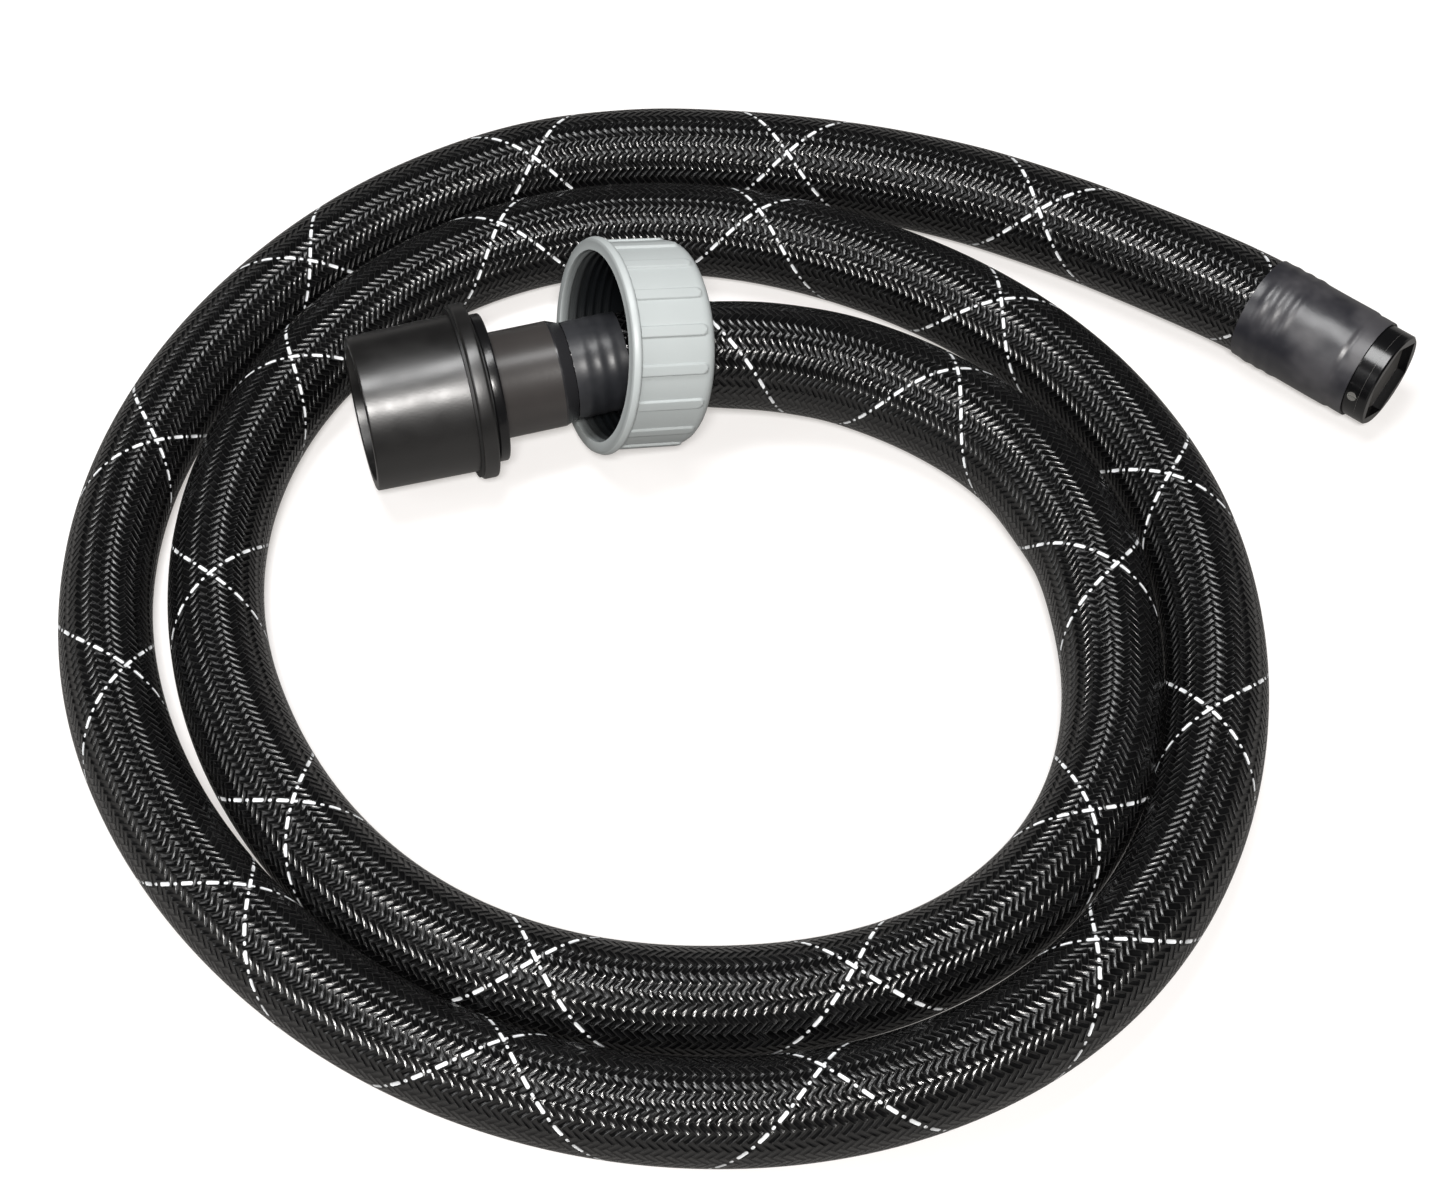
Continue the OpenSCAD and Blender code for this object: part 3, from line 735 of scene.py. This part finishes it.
# ---------------------------------------------------------------- heat shrinks
def shrink_profile(length, first, smooth, bump, draws_in):
    """Outer and inner line of a heat shrink that has drawn down over three bands.

    Each band lifts the outer line by a bell about its middle, and draws_in(x) is added. The inner line
    keeps a wall's thickness from the outer one and has a third of its points.
    """
    edge = 0.15
    band_wide = 2.1
    wall = 0.62
    x = np.linspace(edge, length, 90)
    over = sum(np.exp(-(((x - first - BAND_PITCH * i) / band_wide) ** 2)) for i in range(3))
    r = smooth + bump * over + draws_in(x)
    return list(zip(x, r)) + list(zip(x[::-3], (r - wall)[::-3]))


def puckers(x, r, angles):
    """Slight dents and pulls of a tube shrunk by hand with a hot gun: two waves that wind along it."""
    return r + 0.07 * np.sin(3 * angles + 0.25 * x) + 0.04 * np.sin(7 * angles - 0.3 * x + 1.0)


def no_waist(x):
    return 0 * x


def end_waist(x):
    """The far heat shrink's waist between hose and plug, a bell, and its low stretch on the plug, a step."""
    dip = 0.55 * np.exp(-(((x - HOSE_END - 1.5) / 1.3) ** 2))
    return -dip - 0.5 / (1 + np.exp(-(x - HOSE_END - 2.5) / 0.5))


tail_shrink = turned("tail_shrink", tail_shrink_skin,
    shrink_profile(TAIL_SHRINK_LEN - SLIP_GAP, TAIL_FIRST_BAND, TAIL_SHRINK_R, 0.3, no_waist),
    place=Matrix.Translation((HOSE_AT, 0, 0)), shape=puckers, sharp=70)
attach(tail_shrink, "hose")
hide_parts("tail_heat_shrink")

end_shrink = turned("end_shrink", end_shrink_skin,
    shrink_profile(END_SHRINK_LEN, END_FIRST_BAND, END_SHRINK_R, 0.45, end_waist),
    place=matrix_end(), shape=puckers, sharp=70)
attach(end_shrink, "hose")
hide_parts("end_heat_shrink")


# ---------------------------------------------------------------- union nut
def nut_outside():
    """The outside of the nut, turned: from the mouth over bead, wall and back to the lip, in small steps."""
    corners = rounded([
        (0, ROOT_R, 0.4), (0, BEAD_R - 1.4, 1.8), (BEAD_LEN - 1, BEAD_R, 1.9), (BEAD_LEN, NUT_WALL_R, 0.5),
        (NUT_LEN, NUT_WALL_R, 5.5), (NUT_LEN, LIP_HOLE_R, 0.5), (NUT_LEN - LIP_LEN, LIP_HOLE_R, 0.5)],
        closed=False)
    longest = 0.75
    profile = []
    for (x0, r0), (x1, r1) in zip(corners, corners[1:]):
        steps = max(1, int(abs(x1 - x0) / longest))
        profile += [(x0 + (x1 - x0) * k / steps, r0 + (r1 - r0) * k / steps) for k in range(steps)]
    return np.array(profile + [corners[-1]]).T[:, :, None]


def union_nut():
    """The nut: a bead at its mouth, ribs that run from it to rounded ends, a back lip and a helical thread.

    A rib lifts the wall by a smooth step of the distance from its middle line, up to the ribs' radius. The
    thread's tooth stands in from the bore's radius about half-way through each pitch, counted along the nut
    less a pitch for each turn, and it fades out at both ends. The attribute depth is painted shade: it grows
    with the distance from the mouth inside the nut, and the mouth's face takes a small share of it.
    """
    rib_half, rib_flank, rib_round_at = 2.75, 0.6, 33.6
    # Places across one rib and its share of the wall, close together on its flanks; measured at wall_r
    one_side = np.array([0.9, 1.7, 2.1, 2.35, 2.55, rib_half, 3.0, 3.3, 3.8, 4.8, 6.6])
    across_rib = np.r_[-8.5, -one_side[::-1], 0, one_side]
    wall_r = 46
    angles = np.concatenate([across_rib / wall_r + FIRST_RIB + i * TURN / RIBS for i in range(RIBS)])
    x, r = nut_outside()
    away = np.hypot(np.tile(across_rib, RIBS), np.maximum(x - rib_round_at, 0))
    rise = np.clip((rib_half - away) / rib_flank, 0, 1)
    past_bead, before_back, above_lip = x > BEAD_LEN - 0.1, x < NUT_LEN - 3, r > 41
    lifted = past_bead & before_back & above_lip
    outer = r + lifted * rise * rise * (3 - 2 * rise) * np.maximum(RIB_R - r, 0)

    row_step = 0.33
    x_in = np.arange(NUT_LEN - LIP_LEN - 0.4, 0.4, -row_step)[:, None]
    run = (x_in - THREAD_PITCH * angles / TURN) / THREAD_PITCH % 1
    # The tooth is full up to 0.12 of a pitch from its middle and gone at 0.32
    tooth = np.clip(1.6 - np.abs(run - 0.5) * 5, 0, 1)
    thread_from, thread_till, fade = 2.0, 25.0, 1.2
    full = np.clip(np.minimum(x_in - thread_from, thread_till - x_in) / fade, 0, 1)
    bore = ROOT_R - THREAD_DEPTH * tooth * full

    x, radii = np.vstack([x, x_in]) + 0 * angles, np.vstack([outer, bore])
    verts = np.stack([x, radii * np.sin(angles), radii * np.cos(angles)], axis=-1).reshape(-1, 3)
    faces = grid_faces(len(x), len(angles), wrap_rows=True, flip=True)
    shell = mesh_object("nut_shell", nut_plastic, verts, faces, place=matrix_slack(), sharp=50)
    inside = radii < ROOT_R + 0.3
    mouth_face = (x < 0.5) & ~inside
    # Painted shade: darker with the distance from the mouth inside the nut, and a share of it on the mouth's
    # face
    painted_shade_over, mouth_painted_shade = 2.2, 0.3
    depth = inside * np.clip(1 - np.exp(-x / painted_shade_over), 0, 1) + mouth_painted_shade * mouth_face
    shell.data.attributes.new("depth", "FLOAT", "POINT").data.foreach_set(
        "value", depth.astype(np.float32).ravel())
    return shell


nut = union_nut()
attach(nut, "nut")
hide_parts("union_nut")

# ---------------------------------------------------------------- CAD pieces that keep their shape
finishes = {
    "port_gasket": seal_rubber, "swivel_washer": seal_rubber, "swivel_o_ring": seal_rubber,
    "retaining_ring": ring_steel, "slip_washer": washer_plastic, "end_plug": plug_plastic,
    "end_o_ring": seal_rubber, "plug_screw": screw_steel,
}
finishes.update({f"{place}_band_{i}": ring_steel for place in ("tail", "end") for i in (1, 2, 3)})
for node, finish in finishes.items():
    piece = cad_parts[node]
    piece.data.materials.clear()
    piece.data.materials.append(finish)

# ---------------------------------------------------------------- every fourth point of the hose's line, also in metres
path = line[::4].tolist() + [line[-1].tolist()]
HOSE_AT * MM
[[c * MM for c in p] for p in path]


# ---------------------------------------------------------------- floor and light, in metres
def paper_finish():
    """White paper: the camera sees it lit and glowing, brighter away from the coil until it is white.

    The finishes mirror a share of that glow, and the light that it throws back is dimmer than it looks.
    """
    middle_x, middle_y = 0.15, -0.11
    glow_grows_at, white_at = 0.5, 1.4
    mirrored_share = 0.2
    finish = Finish("paper")
    seen = finish.node("ShaderNodeLightPath", {}, {}, "Is Camera Ray")
    mirrored = finish.node("ShaderNodeLightPath", {}, {}, "Is Glossy Ray")
    away = ((finish.along(0) - middle_x) ** 2 + (finish.along(1) - middle_y) ** 2) ** 0.5
    glow = finish.mix(away.ramp(glow_grows_at, white_at), PAPER_GLOW, WHITE)
    return finish.set(Base_Color=finish.mix(seen, PAPER_UNSEEN, PAPER_LIT), Roughness=0.9,
        Emission_Color=finish.mix(seen + mirrored * mirrored_share, BLACK, glow), Emission_Strength=1.0,
        Specular_IOR_Level=0.1)


half = 4000
corners = [(-half, -half, FLOOR_Z), (half, -half, FLOOR_Z), (half, half, FLOOR_Z), (-half, half, FLOOR_Z)]
floor = mesh_object("floor", paper_finish(), corners, np.array([(0, 1, 2, 3)]))

world = bpy.data.worlds.new("world")
bpy.context.scene.world = world
world.use_nodes = True
sky = Nodes(world.node_tree)
background = world.node_tree.nodes["Background"]
# The camera sees a white sky, of which only a small share lights the pieces
sky_level = 0.05
seen = sky.node("ShaderNodeLightPath", {}, {}, "Is Camera Ray")
sky.feed(background.inputs["Color"], WHITE)
sky.feed(background.inputs["Strength"], seen.ramp(0.0, 1.0, sky_level, 1.0))


def area_light(name, place, look_at, width, depth, watts, colour=WHITE):
    """A rectangular lamp at a place, turned to look at a point."""
    data = bpy.data.lights.new(name, "AREA")
    data.shape = "RECTANGLE"
    data.size, data.size_y, data.energy, data.color = width, depth, watts, colour
    lamp = bpy.data.objects.new(name, data)
    lamp.location = place
    lamp.rotation_euler = (Vector(look_at) - Vector(place)).to_track_quat("-Z", "Y").to_euler()
    bpy.context.scene.collection.objects.link(lamp)


area_light("softbox_top", (0.05, 0.1, 1.7), (0.12, -0.1, 0), width=1.0, depth=0.4, watts=18)
area_light("softbox_front", (-0.2, -1.2, 1.65), (0.1, -0.1, 0), width=0.42, depth=0.28, watts=40,
    colour=(1, 0.975, 0.95))
area_light("softbox_left", (-1.3, -0.3, 1.0), (0.1, -0.1, 0), width=0.6, depth=0.8, watts=5)

bpy.context.scene.view_settings.view_transform = "Standard"
